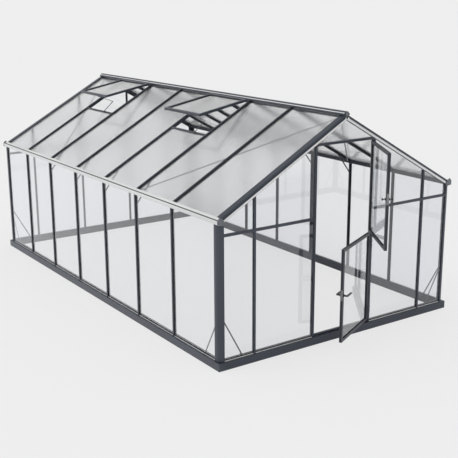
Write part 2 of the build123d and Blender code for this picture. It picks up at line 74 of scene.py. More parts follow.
class Finish:  # a material, or a world, with its nodes
    def __init__(self, name, world=None):
        self.material = world or bpy.data.materials.new(name)
        self.material.use_nodes = True
        self.tree = self.material.node_tree
        self.tree.nodes.clear()
        self.place = self.node("ShaderNodeTexCoord", out="Object")

    def node(self, kind, settings=None, sockets=None, out=0):
        made = self.tree.nodes.new(kind)
        for key, value in (settings or {}).items():
            if key == "stops":
                self.setStops(made.color_ramp, value)
            else:
                setattr(made, key, value)
        for key, value in (sockets or {}).items():
            if isinstance(value, Wire):
                self.tree.links.new(value.socket, made.inputs[key])
            else:
                made.inputs[key].default_value = value
        return Wire(self, made.outputs[out])

    def setStops(self, ramp, stops):
        while len(ramp.elements) < len(stops):
            ramp.elements.new(1.0)
        for element, (position, level) in zip(ramp.elements, stops):
            element.position = position
            element.color = (level, level, level, 1.0)

    def noise(self, scale, detail, stretch=(1.0, 1.0, 1.0)):
        spread = self.node("ShaderNodeMapping", None, {"Vector": self.place, "Scale": stretch})
        return self.node("ShaderNodeTexNoise", None, {"Vector": spread, "Scale": scale, "Detail": detail})

    def ramp(self, value, low, high):
        return self.node("ShaderNodeValToRGB", {"stops": [(low, 0.0), (high, 1.0)]}, {0: value})

    def tint(self, mask, first, second):
        return self.node("ShaderNodeMix", {"data_type": "RGBA"}, {0: mask, 6: first, 7: second}, out=2)

    def bump(self, height, strength, distance):
        sockets = {"Height": height, "Strength": strength, "Distance": distance}
        return self.node("ShaderNodeBump", None, sockets)

    def axis(self, letter):
        return self.node("ShaderNodeSeparateXYZ", None, {0: self.place}, out=letter)

    def clamp(self, value):
        return self.node("ShaderNodeClamp", None, {0: value})

    def above(self, value, limit):  # 1 where the value passes the limit
        return self.node("ShaderNodeMath", {"operation": "GREATER_THAN"}, {0: value, 1: limit})

    def size(self, value):
        return self.node("ShaderNodeMath", {"operation": "ABSOLUTE"}, {0: value})

    def end(self, sockets):
        return self.finish(self.node("ShaderNodeBsdfPrincipled", None, sockets))

    def finish(self, skin, kind="ShaderNodeOutputMaterial"):
        output = self.tree.nodes.new(kind)
        self.tree.links.new(skin.socket, output.inputs["Surface"])
        return self.material


def colour(red, green, blue):
    return (red, green, blue, 1.0)


# finishes: a noise is given as scale, detail and stretch, a bump as strength and distance,
# a roughness as its least and what the noise adds, and edges are where two tones meet
coatFacts = {
    "anthracite": (colour(0.041, 0.049, 0.066), colour(0.032, 0.038, 0.052)),
    "leafGrey": (colour(0.036, 0.041, 0.053), colour(0.027, 0.031, 0.041)),
    "patches": (1.6, 3.0),
    "edges": (0.35, 0.65),
    "grain": (900.0, 2.0),
    "roughness": (0.36, 0.1),
    "bump": (0.12, 0.0004),
    "shine": 0.36,
}


def powderCoat(name, tones):
    coat = Finish(name)
    patches = coat.ramp(coat.noise(*coatFacts["patches"]), *coatFacts["edges"])
    grain = coat.noise(*coatFacts["grain"])
    least, more = coatFacts["roughness"]
    return coat.end({
        "Base Color": coat.tint(patches, *tones),
        "Roughness": least + more * grain,
        "Normal": coat.bump(grain, *coatFacts["bump"]),
        "Specular IOR Level": coatFacts["shine"],
    })


offWhiteFacts = {
    "tones": (colour(0.72, 0.73, 0.72), colour(0.63, 0.64, 0.64)),
    "streaks": (3.0, 4.0, (1.0, 0.2, 4.0)),
    "edges": (0.3, 0.7),
    "grain": (700.0, 2.0),
    "roughness": (0.3, 0.12),
    "bump": (0.08, 0.0004),
}


def offWhiteCoat():
    coat = Finish("gutterCoat")
    streaks = coat.ramp(coat.noise(*offWhiteFacts["streaks"]), *offWhiteFacts["edges"])
    grain = coat.noise(*offWhiteFacts["grain"])
    least, more = offWhiteFacts["roughness"]
    return coat.end({
        "Base Color": coat.tint(streaks, *offWhiteFacts["tones"]),
        "Roughness": least + more * grain,
        "Normal": coat.bump(grain, *offWhiteFacts["bump"]),
    })


mouldedFacts = {
    "mottle": (40.0, 4.0),
    "edges": (0.35, 0.65),
    "grain": (600.0, 2.0),
    "uneven": 0.1,
    "bump": (0.15, 0.0004),
}


def moulded(name, light, dark, roughness):
    plastic = Finish(name)
    mottle = plastic.noise(*mouldedFacts["mottle"])
    grain = plastic.noise(*mouldedFacts["grain"])
    return plastic.end({
        "Base Color": plastic.tint(plastic.ramp(mottle, *mouldedFacts["edges"]), light, dark),
        "Roughness": roughness + mouldedFacts["uneven"] * mottle,
        "Normal": plastic.bump(grain, *mouldedFacts["bump"]),
    })


brushedFacts = {
    "brushing": (60.0, 3.0, (1.0, 1.0, 14.0)),
    "edges": (0.3, 0.7),
    "metallic": 0.85,
    "uneven": 0.12,
    "bump": (0.1, 0.0003),
}


def brushedMetal(name, light, dark, roughness):
    metal = Finish(name)
    brushing = metal.noise(*brushedFacts["brushing"])
    return metal.end({
        "Base Color": metal.tint(metal.ramp(brushing, *brushedFacts["edges"]), light, dark),
        "Metallic": brushedFacts["metallic"],
        "Roughness": roughness + brushedFacts["uneven"] * brushing,
        "Normal": metal.bump(brushing, *brushedFacts["bump"]),
    })


glassFacts = {
    "wallTintAndSheenTones": (colour(0.885, 0.893, 0.908), colour(0.955, 0.960, 0.968)),  # the glass's own tint below the height, and above it a paler tone, a painted sheen
    "paintedSheenFrom": 1.72,
    "paintedSheenRise": 6.0,
    "headTop": 2.04,
    "jamb": 0.385,
    "waves": (0.9, 1.0),
    "waveBump": (0.03, 0.004),
    "smear": (2.2, 5.0, (1.0, 1.0, 0.3)),
    "smearEdges": (0.55, 0.85),
    "clearRoughness": (0.01, 0.02),
    "satinTones": (colour(0.968, 0.970, 0.975), colour(0.948, 0.952, 0.957)),
    "satinRoughness": (0.115, 0.05),
    "frosting": (1500.0, 2.0),
    "frostingBump": (0.05, 0.0002),
    "haze": (1.1, 3.0),
    "bend": 1.5,
}


def clearGlass():  # with the satin pane over the door head
    glass = Finish("wallGlass")
    waves = glass.noise(*glassFacts["waves"])
    smear = glass.ramp(glass.noise(*glassFacts["smear"]), *glassFacts["smearEdges"])
    overHead = glass.above(glass.axis("Z"), glassFacts["headTop"])
    satin = overHead * (1.0 - glass.above(glass.size(glass.axis("X")), glassFacts["jamb"]))
    # painted sheen: above a height the glass turns paler, standing in for a brighter veil of reflected
    # light on the high panes
    high = glass.clamp((glass.axis("Z") - glassFacts["paintedSheenFrom"]) * glassFacts["paintedSheenRise"])
    least, more = glassFacts["clearRoughness"]
    return glass.end({
        "Base Color": glass.tint(high, *glassFacts["wallTintAndSheenTones"]),
        "Roughness": least + more * smear + glassFacts["satinRoughness"][0] * satin,
        "Normal": glass.bump(waves, *glassFacts["waveBump"]),
        "Transmission Weight": 1.0,
        "IOR": glassFacts["bend"],
    })


def satinGlass():
    glass = Finish("roofGlass")
    frosting = glass.noise(*glassFacts["frosting"])
    haze = glass.noise(*glassFacts["haze"])
    least, more = glassFacts["satinRoughness"]
    return glass.end({
        "Base Color": glass.tint(haze, *glassFacts["satinTones"]),
        "Roughness": least + more * frosting,
        "Normal": glass.bump(frosting, *glassFacts["frostingBump"]),
        "Transmission Weight": 1.0,
        "IOR": glassFacts["bend"],
    })


finishes = {
    "frame": powderCoat("frameCoat", coatFacts["anthracite"]),
    "leaf": powderCoat("leafCoat", coatFacts["leafGrey"]),
    "gutter": offWhiteCoat(),
    "caps": moulded("capPlastic", colour(0.13, 0.14, 0.155), colour(0.11, 0.12, 0.13), 0.45),
    "seal": moulded("sealRubberAndPaintedHighlight", colour(0.78, 0.79, 0.79), colour(0.70, 0.71, 0.71), 0.5),
    "strip": brushedMetal("stripMetal", colour(0.17, 0.18, 0.195), colour(0.12, 0.13, 0.14), 0.38),
    "handle": brushedMetal("handleMetal", colour(0.075, 0.07, 0.065), colour(0.045, 0.043, 0.042), 0.34),
    "wall_glass": clearGlass(),
    "roof_glass": satinGlass(),
}
for part in frame["record"]["subparts"]:
    piece = nodes[part["node"]]
    piece.data.materials.clear()
    piece.data.materials.append(finishes[part["material_slot"]])


# tools for the small parts
def placed(x, y, z, at):  # a place given by its three axes and its origin
    place = Matrix((x, y, z)).transposed().to_4x4()
    place.translation = at
    return place


def rod(mesh, start, end, radius, sides=16, tip=None):
    run = Vector(end) - Vector(start)
    turn = run.to_track_quat("Z", "Y").to_matrix().to_4x4()
    place = Matrix.Translation((Vector(start) + Vector(end)) / 2) @ turn
    far = radius if tip is None else tip
    bmesh.ops.create_cone(
        mesh, cap_ends=True, segments=sides, radius1=radius, radius2=far, depth=run.length, matrix=place
    )


def bar(mesh, low, high, place=Matrix(), edge=0.0):  # a straight bar between two corners, its edges eased
    low, high = Vector(low), Vector(high)
    size = Matrix.Diagonal((*(high - low), 1.0))
    made = bmesh.ops.create_cube(mesh, size=1.0, matrix=place @ Matrix.Translation((low + high) / 2) @ size)
    if edge:
        edges = list(dict.fromkeys(line for vert in made["verts"] for line in vert.link_edges))
        bmesh.ops.bevel(
            mesh, geom=edges, offset=edge, offset_type="OFFSET",
            segments=2, profile=0.5, affect="EDGES", material=-1,
        )


def ring(mesh, wide, high, band, thick, place):  # a flat frame in the place's own XY plane
    grid = bmesh.ops.create_grid(
        mesh, x_segments=1, y_segments=1, size=0.5, matrix=place @ Matrix.Diagonal((wide, high, 1.0, 1.0))
    )
    middle = grid["verts"][0].link_faces[0]
    rim = bmesh.ops.inset_individual(mesh, faces=[middle], thickness=band, use_even_offset=True)["faces"]
    bmesh.ops.delete(mesh, geom=[middle], context="FACES_ONLY")
    bmesh.ops.solidify(mesh, geom=rim, thickness=thick)


headFacts = {  # shares of the head's or the screw's radius, the socket's top as one of the dome's height
    "crown": 0.78,
    "crownTip": 0.6,
    "domeTip": 0.62,
    "socket": 0.3,
    "socketTop": 1.15,
    "washerSides": 24,
    "screwSides": 20,
    "hexagon": 6,
}


def bolt(mesh, at, along, facts):  # washer, hexagon head and the thread's end in its middle
    at, along = Vector(at), Vector(along).normalized()
    seat = at + along * facts["washerThick"]
    top = seat + along * facts["headThick"]
    rod(mesh, at, seat, facts["washer"], headFacts["washerSides"])
    rod(mesh, seat, top, facts["head"], headFacts["hexagon"])
    wide, narrow = facts["head"] * headFacts["crown"], facts["head"] * headFacts["crownTip"]
    rod(mesh, top, top + along * facts["crown"], wide, headFacts["hexagon"], narrow)


def screw(mesh, at, along, facts):  # low domed head with a socket
    at, along = Vector(at), Vector(along).normalized()
    shoulder = at + along * facts["rim"]
    dome = shoulder + along * facts["dome"]
    socket = shoulder + along * (facts["dome"] * headFacts["socketTop"])
    radius = facts["screw"]
    rod(mesh, at, shoulder, radius, headFacts["screwSides"])
    rod(mesh, shoulder, dome, radius, headFacts["screwSides"], radius * headFacts["domeTip"])
    rod(mesh, dome, socket, radius * headFacts["socket"], headFacts["hexagon"])


def finishPiece(name, mesh, material, body="house"):
    bmesh.ops.recalc_face_normals(mesh, faces=mesh.faces)
    data = bpy.data.meshes.new(name)
    mesh.to_mesh(data)
    mesh.free()
    data.materials.append(material)
    made = bpy.data.objects.new(name, data)
    bpy.context.collection.objects.link(made)
    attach(made, body)
    print("made", name, len(data.polygons), "faces")


gasketRubberAndPaintedShade = moulded("gasketRubberAndPaintedShade", colour(0.022, 0.023, 0.025), colour(0.014, 0.015, 0.016), 0.6)
boltMetal = brushedMetal("boltMetal", colour(0.34, 0.35, 0.36), colour(0.24, 0.25, 0.26), 0.3)
boltFacts = {"head": 0.0058, "headThick": 0.0042, "crown": 0.0012, "washer": 0.0078, "washerThick": 0.0012}
screwFacts = {"screw": 0.0038, "rim": 0.0006, "dome": 0.0018}


# lines of the house that the small parts follow, in metres
houseFacts = {
    "pitch": radians(29.2),
    "eave": (-1.500, 1.492),  # rafter tops at the left eave
    "ridgeSeat": 1.6861,  # up the slope from the eave to the rafters' upper ends
    "nose": 0.012,
    "slot": 0.0046,
    "depth": 0.0416,
    "bars": 6,
    "halfBar": 0.012,
    "halfStem": 0.0045,
    "strip": 0.003,
    "gap": 0.0003,
}
wallLow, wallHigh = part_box("wall_bars_left")
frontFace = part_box("corner_posts")[0][1]
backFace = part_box("corner_posts")[1][1]
frameSide = wallLow[0]
firstBar = wallLow[1] + houseFacts["halfBar"]
barStep = (wallHigh[1] - houseFacts["halfBar"] - firstBar) / (houseFacts["bars"] - 1)
barPlaces = [firstBar + barStep * count for count in range(houseFacts["bars"])]
slopeCos, slopeSin = cos(houseFacts["pitch"]), sin(houseFacts["pitch"])
eaveX, eaveZ = houseFacts["eave"]


def roofPoint(along, above, y, side=-1):  # along the slope from the eave, above the rafter tops
    x = eaveX + along * slopeCos - above * slopeSin
    return Vector((-side * x, y, eaveZ + along * slopeSin + above * slopeCos))


def roofWay(along, above, side=-1):  # the same two directions as a vector
    return Vector((-side * (along * slopeCos - above * slopeSin), 0.0, along * slopeSin + above * slopeCos))


def bothGables(y):  # a place by the front gable, and its twin by the back one with the way it looks
    return ((y, 1), (frontFace + backFace - y, -1))


# rubber beads between the bars and the glass
beadFacts = {"radius": 0.0017, "sides": 8, "endGap": 0.003, "eaveGap": 0.004, "ridgeGap": 0.012}


def glazingBeads():
    mesh = bmesh.new()
    radius = beadFacts["radius"]
    outside = houseFacts["nose"] + houseFacts["gap"] - radius
    inside = houseFacts["nose"] + houseFacts["slot"] - houseFacts["gap"] + radius
    low, high = wallLow[2] + beadFacts["endGap"], wallHigh[2] - beadFacts["endGap"]
    for side in (-1, 1):
        for y in barPlaces:
            for beside in (-1, 1):
                line = y + beside * (houseFacts["halfBar"] + radius)
                for depth in (outside, inside):
                    x = side * (abs(frameSide) - depth)
                    rod(mesh, (x, line, low), (x, line, high), radius, beadFacts["sides"])
                    if not ventedAt(y, beside, side):
                        start = roofPoint(beadFacts["eaveGap"], -depth, line, side)
                        end = roofPoint(houseFacts["ridgeSeat"] - beadFacts["ridgeGap"], -depth, line, side)
                        rod(mesh, start, end, radius, beadFacts["sides"])
    finishPiece("glazing_beads", mesh, gasketRubberAndPaintedShade)


ventFacts = {
    "bays": (2, 5),  # counted from 0 at the doorway
    "opening": radians(18.5),
    "length": 0.672,
    "neck": 0.022,
    "lap": 0.0095,
    "stile": 0.030,
    "thickness": 0.026,
    "bulb": 0.006,
    "wing": 0.010,
    "pane": 0.0023,
    "bead": 0.004,
    "tipGap": 0.0002,
    "tip": 0.002,
}
hingeLine = houseFacts["ridgeSeat"] - ventFacts["wing"] - ventFacts["bulb"] - houseFacts["gap"]


def ventedAt(y, beside, side):  # true beside a vent, whose frame lies over the rafters there
    bay = barPlaces.index(y) + (1 if beside > 0 else 0)
    return side < 0 and bay in ventFacts["bays"]


glazingBeads()


# bolts of the braces, set on the strips' inner faces
braceFacts = {
    "cornerEnd": 0.022,
    "cornerReach": 0.258,
    "cornerShares": (0.8, 1.5, 0.32, 1.1),  # of the end: foot up, top down, top in, foot in
    "kneeLow": (0.0311, 1.318),
    "kneeHighX": -1.305,
    "kneeEnd": 0.014,
    "stemEnd": 0.0105,
    "windEnds": (0.099, 0.003),  # the first end's place, and the second's beyond its bar
    "windFoot": 0.016,
    "windShares": (0.012, 0.505, 0.988),
}


def braceBolts():
    mesh = bmesh.new()
    low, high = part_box("corner_braces")
    inset = braceFacts["cornerEnd"]
    footUp, topDown, topIn, footIn = braceFacts["cornerShares"]
    foot = low[2] + inset * footUp
    top = high[2] - inset * topDown
    slantTop = inset * topIn
    slantFoot = braceFacts["cornerReach"] - inset * footIn
    inner = abs(low[0]) - houseFacts["strip"]
    stem = houseFacts["depth"] - braceFacts["stemEnd"]
    kneeIn, kneeZ = braceFacts["kneeLow"]
    highZ = eaveZ + (braceFacts["kneeHighX"] - eaveX) * slopeSin / slopeCos - stem / slopeCos
    under = -houseFacts["depth"] - houseFacts["gap"] - houseFacts["strip"]
    first, beyond = braceFacts["windEnds"]
    windRun = braceFacts["windFoot"] - houseFacts["ridgeSeat"]
    for side in (-1, 1):
        for y, way in bothGables(low[1] + houseFacts["strip"]):
            for across, z in ((slantTop, top), (slantFoot, foot)):
                bolt(mesh, (side * (inner - across), y, z), (0, way, 0), boltFacts)
                bolt(mesh, (side * inner, y + way * across, z), (-side, 0, 0), boltFacts)
        for y in barPlaces[1:-1]:
            face = y + houseFacts["halfStem"] + houseFacts["gap"] + houseFacts["strip"]
            lowEnd = Vector((side * (abs(frameSide) - kneeIn), face, kneeZ))
            highEnd = Vector((-side * braceFacts["kneeHighX"], face, highZ))
            run = (highEnd - lowEnd).normalized()
            bolt(mesh, lowEnd + run * braceFacts["kneeEnd"], (0, 1, 0), boltFacts)
            bolt(mesh, highEnd - run * braceFacts["kneeEnd"], (0, 1, 0), boltFacts)
        for (start, way), (end, way) in zip(bothGables(first), bothGables(barPlaces[1] + beyond)):
            for share in braceFacts["windShares"]:
                along = houseFacts["ridgeSeat"] + windRun * share
                at = roofPoint(along, under, start + (end - start) * share, side)
                bolt(mesh, at, roofWay(0, -1, side), boltFacts)
    finishPiece("brace_bolts", mesh, boltMetal)


braceBolts()


# ridge strips, a painted highlight; verge lips; dark gutter strips, a painted shade; and the caps' screws
trimFacts = {
    "ridgeHighlightStrip": (0.40, 0.62, 0.0012),  # where it lies across the ridge's sloping face, and its thickness
    "ridgeEnd": 0.016,
    "ridgeLift": 0.0002,
    "ridgeEase": 0.0003,
    "ridgeTop": (0.015, 0.020),
    "ridgeWing": 0.0120,
    "lip": (0.006, 0.0046),
    "lipTuck": 0.002,
    "lipEnd": 0.012,
    "ease": 0.0006,
    "vergeUnder": 0.025,
    "vergeStart": 0.013,
    "gutterShadeStrip": (0.013, 0.002),
    "gutterInset": 0.017,
    "shadeStripDrop": 0.0015,
    "shadeStripEnd": 0.002,
}


def roofTrim():
    pale = bmesh.new()
    dark = bmesh.new()
    shadeStrips = bmesh.new()
    apex = eaveZ - eaveX * slopeSin / slopeCos
    for side in (-1, 1):
        crown = Vector((side * trimFacts["ridgeTop"][0], 0.0, apex + trimFacts["ridgeTop"][1]))
        wing = roofPoint(houseFacts["ridgeSeat"] - ventFacts["wing"], trimFacts["ridgeWing"], 0.0, side)
        face = wing - crown
        sideways = face.normalized()
        outward = Vector((0, 1, 0)).cross(sideways) * side
        if outward.z < 0:
            outward = -outward
        # painted highlight: a pale strip across the ridge's sloping face, where that face catches the light
        near, far, thick = trimFacts["ridgeHighlightStrip"]
        place = placed(sideways, (0, 1, 0), outward, crown)
        span = face.length
        nearEnd = (span * near, frontFace + trimFacts["ridgeEnd"], trimFacts["ridgeLift"])
        farEnd = (span * far, backFace - trimFacts["ridgeEnd"], thick)
        bar(pale, nearEnd, farEnd, place, trimFacts["ridgeEase"])
        height, depth = trimFacts["lip"]
        for y, way in bothGables(frontFace):
            lower = roofPoint(trimFacts["vergeStart"], -trimFacts["vergeUnder"] - height, y, side)
            place = placed(roofWay(1, 0, side), (0, way, 0), roofWay(0, 1, side), lower)
            length = houseFacts["ridgeSeat"] - trimFacts["vergeStart"] - trimFacts["lipEnd"]
            corner = (length, depth, height + trimFacts["lipTuck"])
            bar(dark, (0, houseFacts["gap"], 0), corner, place, trimFacts["ease"])
        # painted shade: a dark strip stands in the gutter's channel below the rim, where shade falls
        tall, out = trimFacts["gutterShadeStrip"]
        wall = abs(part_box("gutter_left")[0][0]) - trimFacts["gutterInset"]
        top = eaveZ - (wall + eaveX) * slopeSin / slopeCos - trimFacts["shadeStripDrop"]
        inner, outer = sorted((side * wall, side * (wall + out)))
        start, end = frontFace + trimFacts["shadeStripEnd"], backFace - trimFacts["shadeStripEnd"]
        bar(shadeStrips, (inner, start, top - tall), (outer, end, top), Matrix(), trimFacts["ease"])
    finishPiece("ridge_highlight_strips", pale, finishes["seal"])
    finishPiece("verge_lips", dark, finishes["frame"])
    finishPiece("gutter_shade_strips", shadeStrips, gasketRubberAndPaintedShade)


capFacts = {
    "thick": 0.006,
    "gutter": ((1.536, 1.452), (1.503, 1.474), (1.488, 1.440)),
    "ridgeSetback": 0.015,
    "ridge": (2.342, 2.308),
    "vergeSetback": 0.005,
    "vergeUnder": 0.0165,
    "verge": (0.018, 0.034),  # down the slope from the ridge's seat
}


def capScrews():
    mesh = bmesh.new()
    for y, way in bothGables(frontFace - houseFacts["gap"] - capFacts["thick"]):
        for side in (-1, 1):
            for x, z in capFacts["gutter"]:
                screw(mesh, (side * x, y, z), (0, -way, 0), screwFacts)
    for y, way in bothGables(frontFace + capFacts["ridgeSetback"] - houseFacts["gap"] - capFacts["thick"]):
        for z in capFacts["ridge"]:
            screw(mesh, (0.0, y, z), (0, -way, 0), screwFacts)
    for y, way in bothGables(frontFace + capFacts["vergeSetback"]):
        for side in (-1, 1):
            for drop in capFacts["verge"]:
                at = roofPoint(houseFacts["ridgeSeat"] - drop, -capFacts["vergeUnder"], y, side)
                screw(mesh, at, (0, -way, 0), screwFacts)
    finishPiece("cap_screws", mesh, gasketRubberAndPaintedShade)


# pale beads with a rubber lip along the foot of the outer glass
footFacts = {
    "seat": 0.0803,
    "high": 0.0075,
    "thick": 0.005,
    "lip": 0.0025,
    "lipInset": 0.002,
    "eases": (0.0008, 0.0006),  # of the bead, of its lip
    "postLegs": (0.082, 0.060),  # along the long walls, along the gables
    "gableBars": (1.116, 0.383),
}


def footBeads():
    pale = bmesh.new()
    dark = bmesh.new()
    half = houseFacts["halfBar"]
    long = [frontFace + footFacts["postLegs"][0]]
    for y in barPlaces:
        long += [y - half, y + half]
    long.append(backFace - footFacts["postLegs"][0])
    outer, inner = footFacts["gableBars"]
    corner = abs(frameSide) - footFacts["postLegs"][1]
    side = [-corner, -outer - half, half - outer, -inner - half]
    gable = side + [-x for x in reversed(side)]
    back = side + [half - inner, inner - half] + [-x for x in reversed(side)]
    low = footFacts["seat"]
    far = houseFacts["nose"]
    near = far - footFacts["thick"]
    top = low + footFacts["high"]
    for stops, place in (
        (long, Matrix(((0, 1, 0, frameSide), (1, 0, 0, 0), (0, 0, 1, 0), (0, 0, 0, 1)))),
        (long, Matrix(((0, -1, 0, -frameSide), (1, 0, 0, 0), (0, 0, 1, 0), (0, 0, 0, 1)))),
        (gable, Matrix.Translation((0, frontFace, 0))),
        (back, Matrix(((1, 0, 0, 0), (0, -1, 0, backFace), (0, 0, 1, 0), (0, 0, 0, 1)))),
    ):
        for start, end in zip(stops[::2], stops[1::2]):
            start, end = start + houseFacts["gap"], end - houseFacts["gap"]
            lipLow = (start, near + footFacts["lipInset"], top)
            bar(pale, (start, near, low), (end, far, top), place, footFacts["eases"][0])
            bar(dark, lipLow, (end, far, top + footFacts["lip"]), place, footFacts["eases"][1])
    finishPiece("foot_beads", pale, finishes["seal"])
    finishPiece("foot_lips", dark, gasketRubberAndPaintedShade)


roofTrim()
capScrews()
footBeads()


# vents: rubber round the panes, bulbs at the hinge ends and the openers' pins
rubberFacts = {"play": 0.0004, "lift": 0.0012, "thick": 0.0022}  # in the vents and in the leaves


def bayMiddle(bay):
    return firstBar + barStep * (bay - 0.5)


def ventPlace(bay):
    hinge = roofPoint(hingeLine, ventFacts["bulb"] + houseFacts["gap"], bayMiddle(bay))
    slope = placed(roofWay(1, 0), (0, 1, 0), roofWay(0, 1), hinge)
    return slope @ Matrix.Rotation(ventFacts["opening"], 4, "Y")


def ventTrim():
    rubber = bmesh.new()
    bulbs = bmesh.new()
    width = barStep - 2 * houseFacts["halfBar"] + 2 * ventFacts["lap"]
    frameLength = ventFacts["length"] - ventFacts["neck"]
    play = rubberFacts["play"]
    opening = (frameLength - 2 * ventFacts["stile"] - play, width - 2 * ventFacts["stile"] - play)
    level = ventFacts["thickness"] / 2 - ventFacts["bulb"]
    for bay in ventFacts["bays"]:
        place = ventPlace(bay)
        for face in (-1, 1):
            height = level + face * (ventFacts["pane"] + rubberFacts["lift"])
            middle = place @ Matrix.Translation((-ventFacts["neck"] - frameLength / 2, 0.0, height))
            ring(rubber, *opening, ventFacts["bead"], rubberFacts["thick"], middle)
        for end in (-1, 1):
            tip = end * (width / 2 + ventFacts["tipGap"])
            cap = tip + end * ventFacts["tip"]
            rod(bulbs, place @ Vector((0, tip, 0)), place @ Vector((0, cap, 0)), ventFacts["bulb"])
    finishPiece("vent_gaskets", rubber, gasketRubberAndPaintedShade)
    finishPiece("vent_hinge_ends", bulbs, finishes["caps"])


openerFacts = {
    "offset": 0.150,
    "sill": 0.030,
    "elbow": Vector((0.137, 0.0, 0.120)),
    "arm": 0.005,
    "between": 0.0103,
    "lift": 0.0063,
    "pin": 0.0028,
    "pinSides": 16,
    "head": 0.0045,
    "headTop": 0.75,  # of the head's radius
    "headSides": 20,
    "proud": 0.0016,
    "rivet": 0.9,  # of the proud end
}


def openerPins():
    mesh = bmesh.new()
    arm, between, proud = openerFacts["arm"], openerFacts["between"], openerFacts["proud"]
    rivet = Vector((0, proud * openerFacts["rivet"], 0))
    head = openerFacts["head"]
    small = head * openerFacts["headTop"]
    sides = openerFacts["headSides"]
    sill = hingeLine - ventFacts["length"] - openerFacts["sill"] / 2 + ventFacts["stile"] / 2
    reach = ventFacts["stile"] / 2 - ventFacts["length"]
    for bay in ventFacts["bays"]:
        y = bayMiddle(bay) - openerFacts["offset"]
        foot = roofPoint(sill, openerFacts["lift"] - houseFacts["slot"], y)
        lid = ventPlace(bay) @ Vector((reach, 0.0, -ventFacts["bulb"] - openerFacts["lift"]))
        lid.y = y + between
        elbow = foot + openerFacts["elbow"]
        for at, far in ((foot, arm), (elbow, between + arm), (lid, arm)):
            start, end = at + Vector((0, -arm - proud, 0)), at + Vector((0, far + proud, 0))
            rod(mesh, start, end, openerFacts["pin"], openerFacts["pinSides"])
            rod(mesh, start, start + rivet, small, sides, head)
            rod(mesh, end - rivet, end, head, sides, small)
    finishPiece("opener_pins", mesh, boltMetal)


ventTrim()
openerPins()


# door leaves: rubber, brushes, screws and the latch
leafFacts = {
    "axis": Vector((0.367, -0.024, 0.0)),
    "edge": 0.363,  # hinge side of a closed leaf; its other side is as far to the left
    "stile": 0.028,
    "outer": -0.014,
    "thick": 0.028,
    "bead": 0.004,
    "pane": 0.0023,
    "brush": (0.006, 0.0016),
    "brushEnd": 0.01,
    "topBrush": 0.8,  # of the side brush's reach
    "hingeInset": 0.120,
    "hingeScrew": (0.017, 0.005),  # in from the axis, out from the outer face
    "hingeStep": 0.007,
    "openings": {"lower_leaf": radians(26.7), "upper_leaf": radians(59.0)},
    "locks": {"lower_leaf": 0.600, "upper_leaf": 1.590},
    "spans": {"lower_leaf": (0.106, 1.072), "upper_leaf": (1.086, 2.0343)},
}
latchFacts = {
    "rose": 0.0083,  # out from the leaf's face
    "step": 0.0112,
    "screw": {"screw": 0.0021, "rim": 0.0004, "dome": 0.0009},
    "plates": (  # how far their two sides stand out, half the width, half the height, ease
        (0.0012, 0.0, 0.009, 0.055, 0.0005),
        (0.0052, 0.001, 0.005, 0.010, 0.001),
    ),
}


def leafTurn(leaf):
    axis = Matrix.Translation(leafFacts["axis"])
    return axis @ Matrix.Rotation(leafFacts["openings"][leaf], 4, "Z") @ axis.inverted()


def hingeHeights(leaf):
    low, high = leafFacts["spans"][leaf]
    return low + leafFacts["hingeInset"], high - leafFacts["hingeInset"]


def dressLeaf(leaf):
    turn = leafTurn(leaf)
    low, high = leafFacts["spans"][leaf]
    edge, stile, outer = leafFacts["edge"], leafFacts["stile"], leafFacts["outer"]
    middle = outer + leafFacts["thick"] / 2

    rubber = bmesh.new()
    upright = Matrix.Rotation(pi / 2, 4, "X")
    play = rubberFacts["play"]
    opening = (2 * (edge - stile) - play, high - low - 2 * stile - play)
    for face in (-1, 1):
        depth = middle + face * (leafFacts["pane"] + rubberFacts["lift"])
        at = Matrix.Translation((0.0, depth, (low + high) / 2))
        ring(rubber, *opening, leafFacts["bead"], rubberFacts["thick"], turn @ at @ upright)
    reach, thin = leafFacts["brush"]
    gap = leafFacts["brushEnd"]
    brushTop = high + reach * leafFacts["topBrush"]
    bar(rubber, (-edge - reach, middle - thin, low + gap), (-edge, middle + thin, high - gap), turn)
    bar(rubber, (stile - edge, middle - thin, high), (edge - stile, middle + thin, brushTop), turn)
    finishPiece(leaf + "_gaskets", rubber, gasketRubberAndPaintedShade, leaf)

    metal = bmesh.new()
    inward, outward = leafFacts["hingeScrew"]
    for z in hingeHeights(leaf):
        for step in (-leafFacts["hingeStep"], leafFacts["hingeStep"]):
            spot = turn @ Vector((leafFacts["axis"].x - inward, outer - outward, z + step))
            screw(metal, spot, turn.to_3x3() @ Vector((0, -1, 0)), screwFacts)
    lockX = stile / 2 - edge
    lockZ = leafFacts["locks"][leaf]
    rose = latchFacts["rose"]
    for face, way in ((outer - rose, -1), (outer + leafFacts["thick"] + rose, 1)):
        for step in (-latchFacts["step"], latchFacts["step"]):
            spot = turn @ Vector((lockX, face, lockZ + step))
            screw(metal, spot, turn.to_3x3() @ Vector((0, way, 0)), latchFacts["screw"])
    for far, near, wide, tall, ease in latchFacts["plates"]:  # the face plate, and the latch in it
        start = (-edge - far, middle - wide, lockZ - tall)
        bar(metal, start, (-edge - near, middle + wide, lockZ + tall), turn, ease)
    finishPiece(leaf + "_screws", metal, boltMetal, leaf)


jambFacts = {
    "face": 0.005,
    "screws": (0.379, 0.388),
    "screwStep": 0.0215,
    "pinEnd": 0.0305,
    "tip": 0.002,
    "tipRadii": (0.0058, 0.004),
    "tipSides": 20,
    "keep": ((-0.371, -0.3698), 0.010, 0.045),  # the latch's keep: its faces, half its width and height
    "ease": 0.0005,
}


